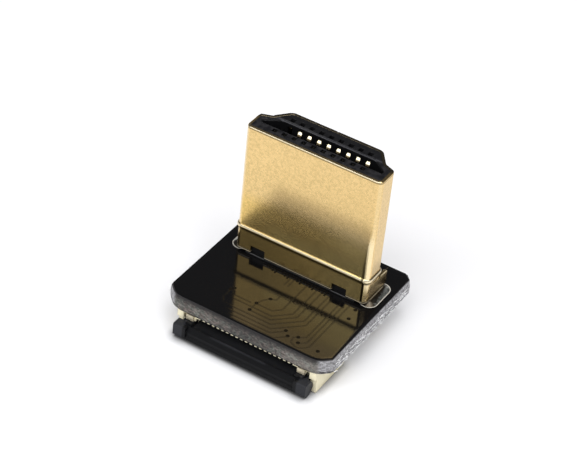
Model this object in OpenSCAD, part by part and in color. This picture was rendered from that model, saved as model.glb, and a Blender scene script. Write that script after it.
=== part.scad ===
// Small adapter board with a plug that stands upright on it and a flat-cable connector underneath.
// Sizes are in millimetres. X runs along the plug's width, Y to the back, Z up from the resting plane.

/* [Board] */
// Width of the board between its two scored edges
board_w = 16.9; // [15.6:0.1:24]
// Depth of the board from front edge to back edge
board_d = 15.3; // [14:0.1:24]
// Thickness of the board without its lacquer
board_t = 1.54; // [0.7:0.01:2]
// Thickness of the lacquer on each face
mask_t = 0.03; // [0.02:0.01:0.05]
// Size of the two front corner cuts
front_cut = 1.15; // [0.4:0.05:2]
// Size of the two back corner cuts
back_cut = 0.7; // [0.3:0.05:2]
// Radius between the front edge and each front corner cut
front_round = 1.6; // [0.4:0.1:2]
// How far the snapped web stands out of each scored edge
web_out = 0.2; // [0.1:0.01:0.35]
// Height of the snapped web
web_h = 0.85; // [0.3:0.05:0.9]

/* [Plug shell] */
// Width of the plug's wide face
plug_w = 13.9; // [13.5:0.05:14.3]
// Depth of the plug from wide face to narrow face
plug_d = 4.3; // [4.3:0.05:4.7]
// Depth of the part that has the full width
wide_d = 2.3; // [2.1:0.05:2.5]
// Width of the narrow face
narrow_w = 9.3; // [9:0.1:10]
// Thickness of the sheet metal
sheet_t = 0.3; // [0.2:0.01:0.35]
// Height of the plug's mouth over the board
plug_h = 13.95; // [12:0.05:18]
// Gap between the shell's lower edge and the board
shell_gap = 0.32; // [0.25:0.01:0.45]
// Height of the bead's middle over the board
bead_at = 2.87; // [2.4:0.01:3.6]
// Height of the bead
bead_h = 0.5; // [0.3:0.05:0.7]
// How far the bead stands out
bead_out = 0.16; // [0.08:0.01:0.2]
// Distance of the plug's wide face from the board's front edge
plug_set = 8.72; // [8.5:0.02:9.2]
// Sideways place of the plug on the board
plug_shift = 0.2; // [-0.4:0.05:0.4]
// Width of each notch in the shell's lower edge
notch_w = 1.5; // [1:0.05:2]
// Height of each notch in the shell's lower edge
notch_h = 0.75; // [0.4:0.05:1.2]
// Distance between the two notches
notch_gap = 8.7; // [7.6:0.1:9.6]
// Sideways place of the pair of notches
notch_shift = -0.2; // [-0.3:0.05:0.3]

/* [Plug legs] */
// Width of each leg where it goes through the board
leg_w = 2.3; // [1.6:0.05:2.6]
// Distance of the leg's front edge from the plug's wide face
leg_at = 1; // [0.8:0.05:1.3]
// How far the leg's root reaches behind the leg
leg_ear = 0.45; // [0.2:0.05:0.7]
// Height of the leg's root over the board
leg_root = 2.04; // [1.2:0.02:2.2]
// Length of the leg under the board
leg_out = 1.9; // [1:0.05:2.2]
// Space round the leg in its slot
slot_gap = 0.3; // [0.2:0.01:0.4]
// Width of the bare ring round each slot
ring_w = 0.45; // [0.3:0.01:0.5]
// Thickness of the metal that lines each slot
plate_t = 0.05; // [0.03:0.01:0.08]
// Height of the solder on each ring
leg_bead = 0.24; // [0.12:0.01:0.24]

/* [Plug inside] */
// Depth of the cavity from the mouth
cavity_h = 6.9; // [6:0.1:9]
// Width of the cavity at its wide side
cavity_w = 12.3; // [11.6:0.1:12.6]
// Width of the cavity at its narrow side
cavity_n = 9.3; // [9.2:0.1:9.6]
// Distance of the cavity from the plug's wide face
cavity_at = 1.35; // [1.3:0.01:1.45]
// Depth of the cavity across the plug
cavity_d = 1.4; // [1.3:0.02:1.5]
// Number of contacts in the front row
front_pins = 10; // [6:1:10]
// Spacing of the contacts in a row
pin_pitch = 1; // [0.9:0.01:1.02]
// Width of a plug contact
pin_w = 0.4; // [0.3:0.01:0.45]
// Thickness of a plug contact
pin_t = 0.18; // [0.12:0.01:0.2]
// Space round a plug contact in its groove
pin_gap = 0.03; // [0.02:0.01:0.05]
// Depth of the back contacts' tips under the mouth
back_tip = 0.6; // [0.5:0.05:0.7]
// Depth of the front contacts' tips under the mouth
front_tip = 0.4; // [0.4:0.05:0.6]
// Height of the spacer that stands on the board
spacer_h = 2.5; // [2.2:0.05:3]
// Height of the ledge at the spacer's foot, under the shell's lower edge
foot_h = 0.2; // [0.14:0.01:0.24]
// Radius of the holes for the contact tails
pin_hole_r = 0.3; // [0.26:0.01:0.34]
// Length of the contact tails under the board
pin_out = 1.35; // [0.8:0.05:1.8]
// Radius of the solder cone on each tail
pin_solder_r = 0.42; // [0.38:0.01:0.44]
// Height of the solder cone on each tail
pin_solder_h = 0.65; // [0.3:0.05:0.75]

/* [Cable connector] */
// Number of cable contacts
ways = 20; // [10:1:20]
// Spacing of the cable contacts
ways_pitch = 0.5; // [0.48:0.01:0.52]
// Length of the housing along the board's front edge
house_w = 14.6; // [14.6:0.1:16]
// Depth of the housing
house_d = 5.2; // [5:0.1:6.5]
// Height of the housing under the board
house_h = 2.42; // [2.36:0.01:2.8]
// Distance of the housing's front from the board's front edge
house_set = 0.1; // [0:0.02:0.4]
// Thickness of the housing's wall next to the board
floor_t = 0.5; // [0.46:0.01:0.56]
// Thickness of that wall at its front edge, where it is cut to a slope
lip_t = 0.2; // [0.2:0.01:0.4]
// Thickness of the housing's outer wall
roof_t = 0.8; // [0.7:0.01:0.9]
// Depth of the cable's slot
throat_d = 3.6; // [3.4:0.05:3.8]
// Thickness of a cable contact
way_w = 0.2; // [0.16:0.01:0.22]
// Space round a cable contact in its groove
way_gap = 0.03; // [0.02:0.01:0.04]
// Length of the solder foot behind the housing
foot_out = 0.7; // [0.4:0.05:1]

/* [Slider] */
// Thickness of the slider's bar from front to back
bar_d = 1.1; // [1:0.02:1.3]
// Space between the cable's lower face level and the floor
cable_gap = 0.37; // [0.34:0.01:0.4]
// Space round the slider in the housing
slide_gap = 0.06; // [0.05:0.01:0.08]
// Length of the slider's tongue
tongue_l = 3.2; // [2.8:0.05:3.3]
// Thickness of the slider's tongue
tongue_t = 0.6; // [0.5:0.01:0.62]
// Travel of the slider from shut to open
travel = 1.2; // [0.8:0.05:1.2]
// Length of each plain block at the bar's ends
block_w = 1.3; // [1:0.05:1.5]
// Depth of the long recess in the bar's front
recess_d = 0.22; // [0.1:0.01:0.3]

/* [Hidden] */
eps = 0.01;
over = 1;
back_pins = front_pins - 1;
pins = front_pins + back_pins;
arc_steps = 6;

// Levels and places of the main pieces
full_t = board_t + 2 * mask_t;
under_z = house_h;
core_z = under_z + mask_t;
web_share = 0.25;
web_most = 0.6;
top_z = under_z + full_t;
bar_over = bar_d + slide_gap / 2 - house_set;
all_d = board_d + bar_over;
front_y = -all_d / 2 + bar_over;
back_y = all_d / 2;
plug_y = front_y + plug_set;
house_y = front_y + house_set;

// Leg slots, seen from the plug's own place
leg_x = plug_w / 2 - sheet_t / 2;
slot_w = sheet_t + 2 * slot_gap;
slot_l = leg_w + 2 * slot_gap + 0.2;
slot_y = leg_at + leg_w / 2;
solder_room = 0.5;
pad_gap = 0.1;
foot_in = 0.02;
pad_w = slot_w + 2 * ring_w;
pad_l = slot_l + 2 * ring_w;

// Contact rows, seen from the plug's own place
cavity_y = cavity_at + cavity_d / 2;
wall_y = cavity_d / 2;
lane_y = wall_y + 0.15;
tip_y = wall_y + 0.46;
tail_y = wall_y + 0.4;
groove_y = lane_y + pin_t / 2 + 0.06;
pocket_in = wall_y + 0.17;
pocket_out = wall_y + 0.7;
pocket_h = 1.25;
bridge_h = 0.5;
spring_in = 0.12;
spring_l = 1.9;
touch_l = 0.8;
hook_rise = 0.16;
hook_run = 0.34;
hook_l = 1.1;
bend_in = 0.02;
bend_back = 0.18;
tail_step = 0.6;
tail_gap = 0.06;
spacer_in = 0.5;

// Cable connector, seen from the housing's front face at the board's underside
throat_w = (ways + 1) * ways_pitch + 0.2;
roof_z = house_h - roof_t;
bar_top = floor_t + cable_gap;
bar_low = house_h - 0.04;
bar_w = house_w - 0.6;
slope_l = 0.6;
mouth_l = 0.5;
shoulder_in = throat_w / 2 + 0.08;
shoulder_w = 0.74;
shoulder_l = 0.6;
end_out = 0.25;
tongue_w = throat_w - 2 * slide_gap;
arm_in = throat_w / 2 + 0.96;
arm_t = 0.28;
arm_h = 0.55;
arm_l = 2.9;
catch_l = 0.6;
catch_t = 0.2;
tab_in = throat_w / 2 + 0.12;
tab_w = 0.78;
tab_t = 0.15;
tab_l = 0.55;
tab_gap = 0.02;
tab_foot = 1.2;
tab_edge = 0.22;
barb_at = 0.82;
barb_l = 1.2;

function two(i) = str(i < 10 ? "0" : "", i);
function plug_contact_name(i) = str("plug_contact_", two(i));
function ffc_contact_name(i) = str("ffc_contact_", two(i));

// Outline helpers: a closed outline moved outwards by d, and the same with rounded corners
function unit(v) = v / norm(v);
function left_of(v) = [-v[1], v[0]];
function miter(a, b, c, d) =
    let (u = unit(b - a), w = unit(c - b), m = left_of(u) + left_of(w))
    b - m * (2 * d / (m * m));
function moved(p, d) =
    let (n = len(p))
    [for (i = [0:n - 1]) miter(p[(i + n - 1) % n], p[i], p[(i + 1) % n], d)];
function corner(a, b, c, r) =
    let (
        u = unit(a - b),
        w = unit(c - b),
        half = acos(u * w) / 2,
        reach = r / tan(half),
        centre = b + unit(u + w) * (r / sin(half)),
        s = b + u * reach - centre,
        e = b + w * reach - centre,
        a0 = atan2(s[1], s[0]),
        turn = atan2(s[0] * e[1] - s[1] * e[0], s * e)
    )
    [for (k = [0:arc_steps]) centre + r * [cos(a0 + turn * k / arc_steps), sin(a0 + turn * k / arc_steps)]];
function rounded(p, r) =
    let (n = len(p))
    [for (i = [0:n - 1]) each corner(p[(i + n - 1) % n], p[i], p[(i + 1) % n], r[i])];

// The plug's outline, anticlockwise from the right end of the wide face.
// The sides are straight for the full width, step inwards and lean to the narrow face.
step_x = 1.15;
step_y = 0.45;
shell_points = [
    [-plug_w / 2, 0],
    [plug_w / 2, 0],
    [plug_w / 2, wide_d],
    [plug_w / 2 - step_x, wide_d + step_y],
    [narrow_w / 2, plug_d],
    [-narrow_w / 2, plug_d],
    [-plug_w / 2 + step_x, wide_d + step_y],
    [-plug_w / 2, wide_d]
];
turns = [1, 1, 1, -1, 1, 1, -1, 1];
bends = [0.5, 0.5, 0.45, 0.4, 0.75, 0.75, 0.4, 0.45];
function shell_outline(d) = rounded(
    moved(shell_points, d),
    [for (i = [0:7]) max(0.12, bends[i] + turns[i] * d)]
);

module at_plug() {
    translate([plug_shift, plug_y, top_z])
        children();
}

module at_house() {
    translate([plug_shift, house_y, under_z])
        children();
}

module both_sides() {
    for (s = [-1, 1])
        scale([s, 1, 1])
            children();
}

// A slot outline with round ends that runs along Y
module oblong(w, l) {
    square([w, l - w], center = true);
    for (s = [-1, 1])
        translate([0, s * (l - w) / 2])
            circle(d = w, $fn = 48);
}

// A row outline, laid in the Y-Z plane and drawn out along X by w around its middle
module side_prism(w) {
    rotate([90, 0, 90])
        translate([0, 0, -w / 2])
            linear_extrude(w)
                children();
}

// Board outline seen from above
module board_outline(grow) {
    w = board_w / 2 + grow;
    blend = min(front_round, 2 * front_cut);
    small = 0.08;
    polygon(rounded(
        [
            [-w + front_cut, front_y],
            [w - front_cut, front_y],
            [w, front_y + front_cut],
            [w, back_y - back_cut],
            [w - back_cut, back_y],
            [-w + back_cut, back_y],
            [-w, back_y - back_cut],
            [-w, front_y + front_cut]
        ],
        [blend, blend, small, small, small, small, small, small]
    ));
}

function pin_row(i) = i <= front_pins ? -1 : 1;
function pin_x(i) = i <= front_pins
    ? (i - (front_pins + 1) / 2) * pin_pitch
    : (i - front_pins - (back_pins + 1) / 2) * pin_pitch;

module pin_holes(r, from, to) {
    for (i = [1:pins])
        translate([pin_x(i), cavity_y + pin_row(i) * tail_y, from])
            cylinder(h = to - from, r = r, $fn = 32);
}

module leg_slots(w, l, from, to) {
    both_sides()
        translate([leg_x, slot_y, from])
            linear_extrude(to - from)
                oblong(w, l);
}

// Glass-fibre board, with a V cut and a snapped web along each side
module board_core() {
    web_t = min(web_h, web_most * board_t);
    web_z = web_share * (board_t - web_t);
    color([0.42, 0.4, 0.43])
        difference() {
            intersection() {
                translate([0, 0, core_z])
                    linear_extrude(board_t)
                        board_outline(web_out);
                translate([0, back_y + over, core_z])
                    rotate([90, 0, 0])
                        linear_extrude(all_d + 2 * over)
                            polygon([
                                [-board_w / 2, 0],
                                [board_w / 2, 0],
                                [board_w / 2 + web_out, web_z],
                                [board_w / 2 + web_out, web_z + web_t],
                                [board_w / 2, board_t],
                                [-board_w / 2, board_t],
                                [-board_w / 2 - web_out, web_z + web_t],
                                [-board_w / 2 - web_out, web_z]
                            ]);
            }
            at_plug() {
                pin_holes(pin_hole_r, -full_t - 1, 1);
                leg_slots(slot_w + 2 * plate_t, slot_l + 2 * plate_t, -full_t - 1, 1);
            }
        }
}

// One face's lacquer, with the pads left bare
module lacquer() {
    difference() {
        translate([0, 0, core_z - mask_t])
            linear_extrude(mask_t)
                board_outline(0);
        at_plug() {
            pin_holes(pin_solder_r + 0.03, -full_t - 1, 1);
            leg_slots(pad_w, pad_l, -full_t - 1, 1);
        }
    }
}

module mask_top() {
    color([0.03, 0.03, 0.035])
        translate([0, 0, board_t + mask_t])
            lacquer();
}

module mask_bottom() {
    color([0.03, 0.03, 0.035])
        lacquer();
}

// Metal lining and rings of the two leg slots
module slot_plating() {
    color([0.8, 0.74, 0.6])
        at_plug()
            difference() {
                union() {
                    leg_slots(pad_w, pad_l, -mask_t, 0);
                    leg_slots(pad_w, pad_l, -full_t, mask_t - full_t);
                    leg_slots(slot_w + 2 * plate_t, slot_l + 2 * plate_t, -full_t, 0);
                }
                leg_slots(slot_w, slot_l, -full_t - 1, 1);
            }
}

// Bead rolled outwards round the shell, as rings of the shell's own outline
module bead() {
    rings = 8;
    loops = [for (k = [0:rings])
        let (a = 180 * k / rings)
        [for (p = shell_outline(bead_out * sin(a))) [p[0], p[1], bead_at - bead_h / 2 * cos(a)]]];
    count = len(loops[0]);
    core = [for (k = [0, rings]) [for (p = shell_outline(-sheet_t / 2)) [p[0], p[1], loops[k][0][2]]]];
    ring_points = concat([core[0]], loops, [core[1]]);
    total = len(ring_points);
    polyhedron(
        points = [for (r = ring_points) each r],
        faces = [for (k = [0:total - 1]) for (j = [0:count - 1])
            let (
                a = k * count + j,
                b = k * count + (j + 1) % count,
                c = ((k + 1) % total) * count + (j + 1) % count,
                d = ((k + 1) % total) * count + j
            )
            each [[a, d, c], [a, c, b]]]
    );
}

// Fine joint line where the sheet meets itself on the narrow face, with a dovetail
module seam() {
    line_w = 0.07;
    tail_a = 0.75;
    tail_b = 1.15;
    tail_z = 8.2;
    tail_h = 1.6;
    translate([0, plug_d + eps, 0])
        rotate([90, 0, 0])
            linear_extrude(0.1)
                difference() {
                    union() {
                        translate([-line_w / 2, 0])
                            square([line_w, plug_h + 1]);
                        polygon([
                            [-line_w / 2, tail_z - tail_a],
                            [tail_h, tail_z - tail_b],
                            [tail_h, tail_z + tail_b],
                            [-line_w / 2, tail_z + tail_a]
                        ]);
                    }
                    polygon([
                        [-line_w, tail_z - tail_a + line_w],
                        [tail_h - line_w, tail_z - tail_b + line_w * 1.2],
                        [tail_h - line_w, tail_z + tail_b - line_w * 1.2],
                        [-line_w, tail_z + tail_a - line_w]
                    ]);
                }
}

// Sheet-metal shell with its bead, two lower notches, joint line and two solder legs
module plug_shell() {
    color([0.83, 0.68, 0.4])
        at_plug() {
            difference() {
                union() {
                    translate([0, 0, shell_gap])
                        linear_extrude(plug_h - shell_gap)
                            polygon(shell_outline(0));
                    bead();
                }
                translate([0, 0, -over])
                    linear_extrude(plug_h + 2 * over)
                        polygon(shell_outline(-sheet_t));
                for (s = [-1, 1])
                    translate([notch_shift + s * notch_gap / 2 - notch_w / 2, -1, 0])
                        cube([notch_w, 1 + sheet_t + eps, shell_gap + notch_h]);
                seam();
            }
            both_sides()
                plug_leg();
        }
}

// Flat leg in the plane of the shell's side, with a wider root and a narrowed end
module plug_leg() {
    low = -full_t - leg_out;
    translate([plug_w / 2 - sheet_t, 0, 0])
        rotate([90, 0, 90])
            linear_extrude(sheet_t)
                polygon([
                    [leg_at, leg_root],
                    [leg_at, low + 0.5],
                    [leg_at + 0.3, low],
                    [leg_at + leg_w - 0.3, low],
                    [leg_at + leg_w, low + 0.5],
                    [leg_at + leg_w, shell_gap],
                    [leg_at + leg_w + leg_ear, shell_gap + 0.15],
                    [leg_at + leg_w + leg_ear, leg_root - 0.15],
                    [leg_at + leg_w + leg_ear - 0.15, leg_root]
                ]);
}

// Cavity outline at the mouth, anticlockwise
module cavity_outline(grow) {
    polygon([
        [-cavity_w / 2 - grow, cavity_at - grow],
        [cavity_w / 2 + grow, cavity_at - grow],
        [cavity_w / 2 + grow, cavity_at + 0.35],
        [cavity_n / 2 + grow, cavity_at + cavity_d + grow],
        [-cavity_n / 2 - grow, cavity_at + cavity_d + grow],
        [-cavity_w / 2 - grow, cavity_at + 0.35]
    ]);
}

// Groove, rim pocket and lower slot of one contact, seen from the middle of the cavity
module pin_groove() {
    w = pin_w + 2 * pin_gap;
    translate([-w / 2, wall_y - 0.03, 0])
        cube([w, groove_y - wall_y + 0.03, plug_h - bridge_h]);
    translate([-w / 2, pocket_in, plug_h - pocket_h])
        cube([w, pocket_out - pocket_in, pocket_h + 1]);
}

// Moulded insulator that fills the shell and carries both rows of contacts
module plug_insulator() {
    color([0.05, 0.05, 0.055])
        at_plug()
            difference() {
                translate([0, 0, spacer_h])
                    linear_extrude(plug_h - spacer_h)
                        polygon(shell_outline(-sheet_t));
                translate([0, 0, plug_h - cavity_h])
                    linear_extrude(cavity_h + 1)
                        cavity_outline(0);
                translate([0, 0, plug_h - 0.12])
                    linear_extrude(1)
                        cavity_outline(0.08);
                for (i = [1:pins])
                    translate([pin_x(i), cavity_y, 0])
                        scale([1, pin_row(i), 1])
                            pin_groove();
            }
}

// Black block on the board that guides the tails, with room for the solder at both ends
module plug_spacer() {
    color([0.04, 0.04, 0.045])
        at_plug()
            difference() {
                union() {
                    linear_extrude(spacer_h)
                        polygon(shell_outline(-sheet_t));
                    translate([-leg_x, foot_in, 0])
                        cube([2 * leg_x, plug_d / 2, foot_h]);
                }
                both_sides()
                    translate([leg_x - pad_w / 2 - pad_gap, -over, -over])
                        cube([pad_w, plug_d + 2 * over, over + solder_room]);
                for (i = [1:pins])
                    translate([pin_x(i), cavity_y, -over])
                        scale([1, pin_row(i), 1])
                            translate([-pin_w / 2 - pin_gap, lane_y - pin_t / 2 - tail_gap, 0])
                                cube([pin_w + 2 * pin_gap, tail_y - lane_y + pin_t + 2 * tail_gap, spacer_h + 2 * over]);
            }
}

// Strip of even thickness along a line of points, as a closed outline
function side_point(p, i, d) =
    i == 0 ? p[0] + left_of(unit(p[1] - p[0])) * d
    : i == len(p) - 1 ? p[i] + left_of(unit(p[i] - p[i - 1])) * d
    : miter(p[i - 1], p[i], p[i + 1], -d);
function strip(p, t) = concat(
    [for (i = [0:len(p) - 1]) side_point(p, i, t / 2)],
    [for (i = [len(p) - 1:-1:0]) side_point(p, i, -t / 2)]
);

// Formed spring contact: hooked tip, bowed touch area, straight lane, offset and tail
// The left contact of the back row sits back in its groove
module plug_contact(i) {
    tip_z = plug_h - (i <= front_pins ? front_tip : back_tip);
    bend_z = tip_z - hook_rise - hook_run;
    shy = i == front_pins + 1;
    bow_y = wall_y + (shy ? spring_in : -spring_in);
    touch_z = bend_z - hook_l;
    path = [
        [tip_y, tip_z],
        [tip_y - 0.2, tip_z - hook_rise],
        [wall_y + (shy ? bend_back : bend_in), bend_z],
        [bow_y, touch_z],
        [bow_y, touch_z - touch_l],
        [lane_y, touch_z - touch_l - spring_l],
        [lane_y, spacer_h - spacer_in],
        [tail_y, spacer_h - spacer_in - tail_step],
        [tail_y, -full_t - pin_out]
    ];
    color([0.9, 0.78, 0.5])
        at_plug()
            translate([pin_x(i), cavity_y, 0])
                scale([1, pin_row(i), 1])
                    side_prism(pin_w)
                        polygon(strip(path, pin_t));
}

// Low mound with sloped sides and round ends, open where a leg goes through
module mound(w0, l0, w1, h) {
    run = (l0 - w0) / 2;
    for (s = [-1, 1])
        translate([0, s * run, 0])
            cylinder(h = h, r1 = w0 / 2, r2 = w1 / 2, $fn = 48);
    translate([0, run, 0])
        rotate([90, 0, 0])
            linear_extrude(2 * run)
                polygon([[-w0 / 2, 0], [w0 / 2, 0], [w1 / 2, h], [-w1 / 2, h]]);
}

// Solder that fills both leg slots and stands on their rings
module leg_solder() {
    color([0.66, 0.67, 0.68])
        at_plug()
            both_sides()
                difference() {
                    translate([leg_x, slot_y, 0]) {
                        mound(pad_w - 0.16, pad_l - 0.16, slot_w - 0.2, leg_bead);
                        translate([0, 0, -full_t])
                            linear_extrude(full_t)
                                oblong(slot_w, slot_l);
                        translate([0, 0, -full_t])
                            mirror([0, 0, 1])
                                mound(pad_w - 0.16, pad_l - 0.16, slot_w - 0.2, 0.6);
                    }
                    translate([plug_w / 2 - sheet_t, leg_at, -full_t - leg_out])
                        cube([sheet_t, leg_w, 2 * full_t + leg_out]);
                }
}

// Solder cones on the plug's tails
module pin_solder() {
    color([0.66, 0.67, 0.68])
        at_plug()
            for (i = [1:pins])
                translate([pin_x(i), cavity_y + pin_row(i) * tail_y, -full_t + mask_t])
                    mirror([0, 0, 1])
                        difference() {
                            cylinder(h = pin_solder_h, r1 = pin_solder_r, r2 = 0.24, $fn = 32);
                            translate([-pin_w / 2, -pin_t / 2, -over])
                                cube([pin_w, pin_t, pin_solder_h + 2 * over]);
                        }
}

function way_x(i) = (i - (ways + 1) / 2) * ways_pitch;

// Grooves of one cable contact: in the floor, in the roof and through the back
module way_groove() {
    w = way_w + 2 * way_gap;
    translate([-w / 2, -1, -floor_t - 1])
        cube([w, throat_d + 1.2, 0.9 + floor_t]);
    translate([-w / 2, -1, -floor_t])
        cube([w, 1 + mouth_l, floor_t + 1]);
    translate([-w / 2, 0.4, -house_h + 0.3])
        cube([w, throat_d, roof_t]);
    translate([-w / 2, throat_d - 0.2, -house_h + 0.3])
        cube([w, house_d, house_h]);
}

// Ivory housing: floor on the board, open throat, outer wall, end walls and back block
module ffc_housing() {
    edge = 0.15;
    color([0.93, 0.89, 0.76])
        at_house()
            difference() {
                side_prism(house_w)
                    polygon([
                        [0, 0],
                        [house_d, 0],
                        [house_d, -house_h + edge],
                        [house_d - edge, -house_h],
                        [edge, -house_h],
                        [0, -house_h + edge]
                    ]);
                side_prism(throat_w)
                    polygon([
                        [-1, -lip_t],
                        [0, -lip_t],
                        [slope_l, -floor_t],
                        [throat_d, -floor_t],
                        [throat_d, -roof_z],
                        [0.35, -roof_z],
                        [-0.05, -roof_z - 0.25],
                        [-1, -roof_z - 0.25]
                    ]);
                for (i = [1:ways])
                    translate([way_x(i), 0, 0])
                        way_groove();
                both_sides() {
                    arm_room();
                    tab_room();
                    shoulder_room();
                    end_room();
                }
            }
}

// Recess beside the throat for the slider's shoulder
module shoulder_room() {
    top = tab_l + 0.01;
    translate([throat_w / 2 - eps, -1, -roof_z])
        cube([arm_in - slide_gap - throat_w / 2 + 2 * eps, 1 + shoulder_l + slide_gap, roof_z - top]);
}

// Recess in the housing's front for the round back of the slider's end block
module end_room() {
    translate([bar_w / 2 - block_w - slide_gap, -1, -house_h - 1])
        cube([house_w, 1 + end_out + slide_gap, 1 + house_h - bar_top + slide_gap]);
}

// Groove, catch pocket and open notch for one of the slider's arms
module arm_room() {
    catch_y = arm_l - catch_l - travel - slide_gap;
    low = bar_top + arm_h + 2 * slide_gap;
    translate([arm_in - slide_gap, -1, -low])
        cube([arm_t + 2 * slide_gap, arm_l + 1.2, arm_h + 2 * slide_gap]);
    translate([arm_in - slide_gap, catch_y, -low])
        cube([arm_t + catch_t + 2 * slide_gap, arm_l + 0.2 - catch_y, arm_h + 2 * slide_gap]);
    translate([arm_in - slide_gap, -1, -bar_top - 0.1])
        cube([arm_t + 2 * slide_gap, 1.8, bar_top - 0.05]);
}

// Seat of one solder tab
module tab_room() {
    translate([tab_in - tab_gap, -over, -tab_t])
        cube([tab_w + 2 * tab_gap, over + tab_foot, over]);
    translate([tab_in - tab_gap, barb_at - tab_gap, -barb_l - 2 * tab_gap])
        cube([tab_w + 2 * tab_gap, tab_t + 2 * tab_gap, over + barb_l]);
}

// Tin-plated solder tab: foot on the board, bent lip in front and a tongue in the housing
module ffc_tab() {
    color([0.74, 0.72, 0.66])
        at_house()
            translate([tab_in + tab_w / 2, 0, 0])
                side_prism(tab_w)
                    polygon([
                        [-tab_edge, 0],
                        [tab_foot, 0],
                        [tab_foot, -tab_t],
                        [barb_at + tab_t, -tab_t],
                        [barb_at + tab_t, -barb_l],
                        [barb_at, -barb_l],
                        [barb_at, -tab_t],
                        [tab_t + tab_gap - tab_edge, -tab_t],
                        [tab_t + tab_gap - tab_edge, -tab_l],
                        [-tab_edge, -tab_l]
                    ]);
}

module ffc_tab_right() {
    ffc_tab();
}

module ffc_tab_left() {
    translate([2 * plug_shift, 0, 0])
        mirror([1, 0, 0])
            ffc_tab();
}

// Fork contact: sprung floor arm, upper arm, stem and solder foot
module ffc_contact(i) {
    low = -house_h + 0.34;
    back = house_d + foot_out;
    color([0.85, 0.84, 0.8])
        at_house()
            translate([way_x(i), 0, 0])
                side_prism(way_w)
                    polygon([
                        [mouth_l - 0.05, -0.14],
                        [mouth_l - 0.05, -0.34],
                        [0.7, -floor_t - 0.02],
                        [0.95, -floor_t - 0.02],
                        [1.2, -0.4],
                        [throat_d + 0.25, -0.34],
                        [throat_d + 0.25, low + 0.3],
                        [0.95, low + 0.26],
                        [0.75, low + 0.38],
                        [0.55, low + 0.24],
                        [0.55, low + 0.04],
                        [throat_d + 0.5, low],
                        [house_d - 0.5, low],
                        [house_d - 0.5, -0.34],
                        [house_d - 0.1, -0.3],
                        [house_d + 0.15, -0.15],
                        [back, -0.15],
                        [back, 0],
                        [house_d, 0],
                        [house_d - 0.3, -0.14]
                    ]);
}

// Solder fillets behind the cable contacts' feet
module ffc_solder() {
    back = house_d + foot_out;
    color([0.7, 0.7, 0.7])
        at_house()
            for (i = [1:ways])
                translate([way_x(i), 0, 0])
                    side_prism(way_w + 0.08)
                        polygon([
                            [back, 0],
                            [back + 0.32, 0],
                            [back + 0.1, -0.06],
                            [back, -0.15]
                        ]);
}

// Section of the slider's bar: flat front, cut lower corner and a round back
module bar_section() {
    mid = (bar_top + bar_low) / 2;
    half = (bar_low - bar_top) / 2;
    rear = -slide_gap / 2;
    front = rear - bar_d;
    polygon(concat(
        [
            [front, -bar_top - 0.12],
            [front, -bar_low + 0.32],
            [front + 0.3, -bar_low]
        ],
        [for (a = [-80:20:80]) [rear - half + half * cos(a), -mid + half * sin(a)]],
        [[front + 0.12, -bar_top]]
    ));
}

// Black slider: bar with plain end blocks, tongue under the cable and two hooked arms
module ffc_slider() {
    rear = -slide_gap / 2;
    front = rear - bar_d;
    lead_w = bar_w - 2 * block_w;
    color([0.06, 0.06, 0.07])
        at_house() {
            difference() {
                side_prism(bar_w)
                    bar_section();
                side_prism(lead_w)
                    polygon([
                        [front - 1, -bar_top + 1],
                        [front + 0.5, -bar_top + 1],
                        [front + 0.5, -bar_top],
                        [front + recess_d, -bar_top - 0.55],
                        [front + recess_d, -bar_low + 0.52],
                        [front - eps, -bar_low + 0.36],
                        [front - 1, -bar_low + 0.36]
                    ]);
            }
            slider_tongue(rear);
            both_sides() {
                slider_arm(rear);
                slider_shoulder(rear);
                translate([bar_w / 2 - block_w / 2, 0, 0])
                    side_prism(block_w)
                        end_section();
            }
        }
}

// Section of the slider's end block: flat top, cut lower corner and a bulging back
module end_section() {
    rear = end_out - slide_gap / 2;
    front = -slide_gap / 2 - bar_d;
    mid = (bar_top + bar_low) / 2;
    polygon([
        [front, -bar_top - 0.12],
        [front, -bar_low + 0.32],
        [front + 0.3, -bar_low],
        [rear - 0.6, -bar_low],
        [rear - 0.25, -bar_low + 0.26],
        [rear - 0.05, -mid - 0.22],
        [rear, -mid],
        [rear - 0.03, -mid + 0.22],
        [rear - 0.2, -bar_top - 0.22],
        [rear - 0.38, -bar_top],
        [front + 0.12, -bar_top]
    ]);
}

// Shoulder beside the tongue that enters the housing under the solder tab
module slider_shoulder(rear) {
    translate([shoulder_in, rear - 0.5, -bar_top - 0.4])
        cube([shoulder_w, shoulder_l + 0.5, bar_top + 0.4 - tab_l - slide_gap]);
}

// Wedge that presses the cable against the contacts
module slider_tongue(rear) {
    side_prism(tongue_w)
        polygon([
            [rear - 0.5, -bar_top - 0.04],
            [tongue_l - 0.7, -bar_top - 0.04],
            [tongue_l, -bar_top - 0.22],
            [tongue_l, -bar_top - tongue_t + 0.1],
            [tongue_l - 0.3, -bar_top - tongue_t],
            [rear - 0.5, -bar_top - tongue_t]
        ]);
}

// Side arm with a hook that stops the slider at the end of its travel
module slider_arm(rear) {
    translate([0, 0, -bar_top - slide_gap - arm_h])
        linear_extrude(arm_h)
            polygon([
                [arm_in, rear - 0.5],
                [arm_in + arm_t, rear - 0.5],
                [arm_in + arm_t, arm_l - catch_l],
                [arm_in + arm_t + catch_t, arm_l - catch_l],
                [arm_in + arm_t + catch_t, arm_l - 0.25],
                [arm_in + arm_t, arm_l],
                [arm_in, arm_l]
            ]);
}

board_core();
mask_top();
mask_bottom();
slot_plating();
plug_shell();
plug_insulator();
plug_spacer();
for (i = [1:pins])
    plug_contact(i);
leg_solder();
pin_solder();
ffc_housing();
ffc_slider();
for (i = [1:ways])
    ffc_contact(i);
ffc_tab_left();
ffc_tab_right();
ffc_solder();
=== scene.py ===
import math

import bmesh
import bpy
from mathutils import Matrix, Vector, noise


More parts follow.
